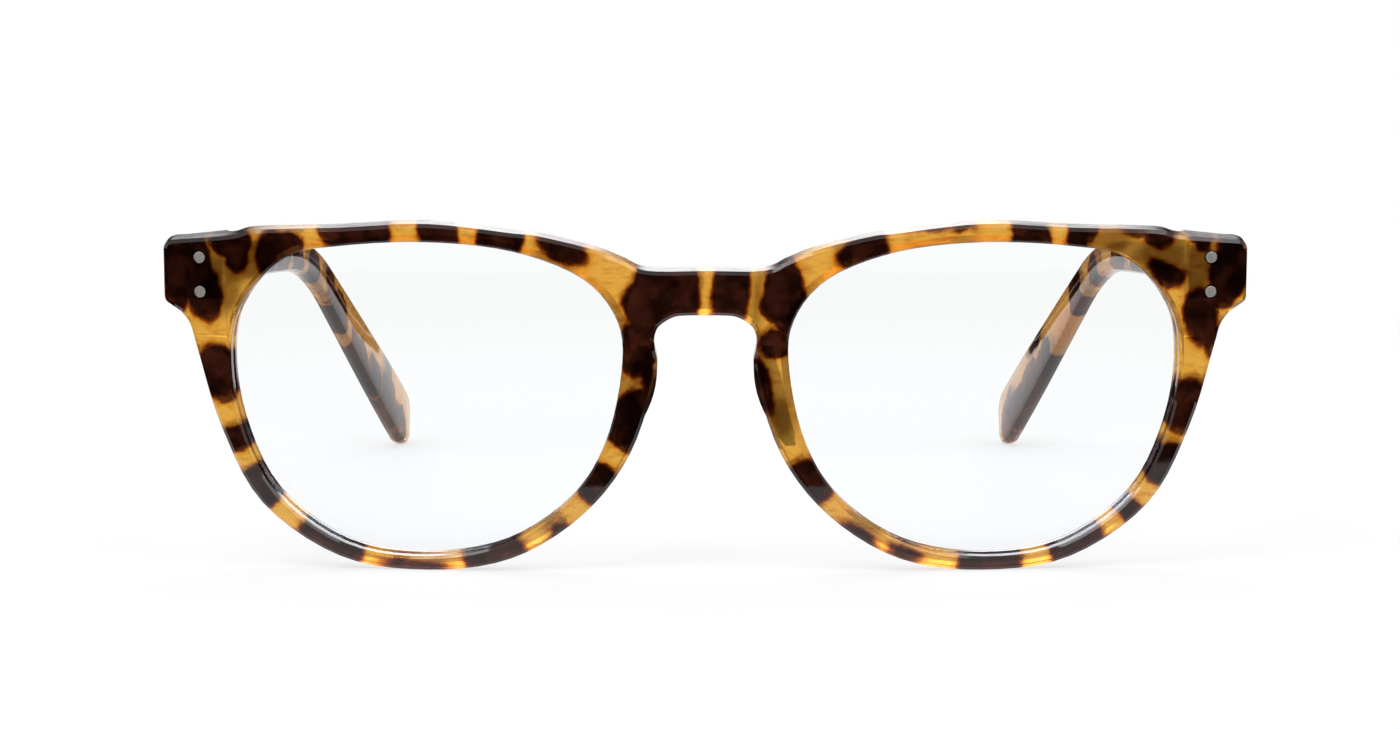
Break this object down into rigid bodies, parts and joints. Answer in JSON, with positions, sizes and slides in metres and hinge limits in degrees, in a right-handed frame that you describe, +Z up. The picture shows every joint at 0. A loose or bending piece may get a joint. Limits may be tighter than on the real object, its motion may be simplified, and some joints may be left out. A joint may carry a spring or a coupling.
{
  "type": "eyeglasses",
  "caption": "Full-rim plastic glasses with a keyhole bridge, bonded nose pads, riveted barrel hinges and folding temples with drop ends.",
  "frame": {"origin": "middle of the bounding box at the surface that the rims and the temple tips stand on", "axes": "+X towards the picture's right, +Y from the front towards the temple tips, +Z up"},
  "size_m": [0.1428, 0.1536, 0.0464],
  "materials": {
    "tortoise_acetate": "polished translucent tortoiseshell acetate",
    "pad_acetate": "polished dark acetate",
    "lens_plastic": "clear coated lens plastic",
    "hinge_metal": "satin nickel alloy",
    "rivet_metal": "polished nickel alloy with a matte face"
  },
  "bodies": {
    "front": {"front_frame": "tortoise_acetate", "left_lens": "lens_plastic", "right_lens": "lens_plastic", "left_nose_pad": "pad_acetate", "right_nose_pad": "pad_acetate", "left_front_hinge_leaf": "hinge_metal", "right_front_hinge_leaf": "hinge_metal", "left_hinge_screw": "hinge_metal", "right_hinge_screw": "hinge_metal", "left_upper_front_rivet": "rivet_metal", "left_lower_front_rivet": "rivet_metal", "right_upper_front_rivet": "rivet_metal", "right_lower_front_rivet": "rivet_metal"},
    "left_arm": {"left_temple": "tortoise_acetate", "left_temple_hinge_leaf": "hinge_metal", "left_front_temple_rivet": "rivet_metal", "left_rear_temple_rivet": "rivet_metal"},
    "right_arm": {"right_temple": "tortoise_acetate", "right_temple_hinge_leaf": "hinge_metal", "right_front_temple_rivet": "rivet_metal", "right_rear_temple_rivet": "rivet_metal"}
  },
  "joints": [
    {"name": "left_temple_hinge", "type": "hinge", "parent": "front", "child": "left_arm", "pos_m": [-0.06635, -0.06346, 0.03972], "axis": [0, 0.0986, -0.9951], "range_deg": [0, 84]},
    {"name": "right_temple_hinge", "type": "hinge", "parent": "front", "child": "right_arm", "pos_m": [0.06635, -0.06346, 0.03972], "axis": [0, -0.0986, 0.9951], "range_deg": [0, 79]}
  ]
}
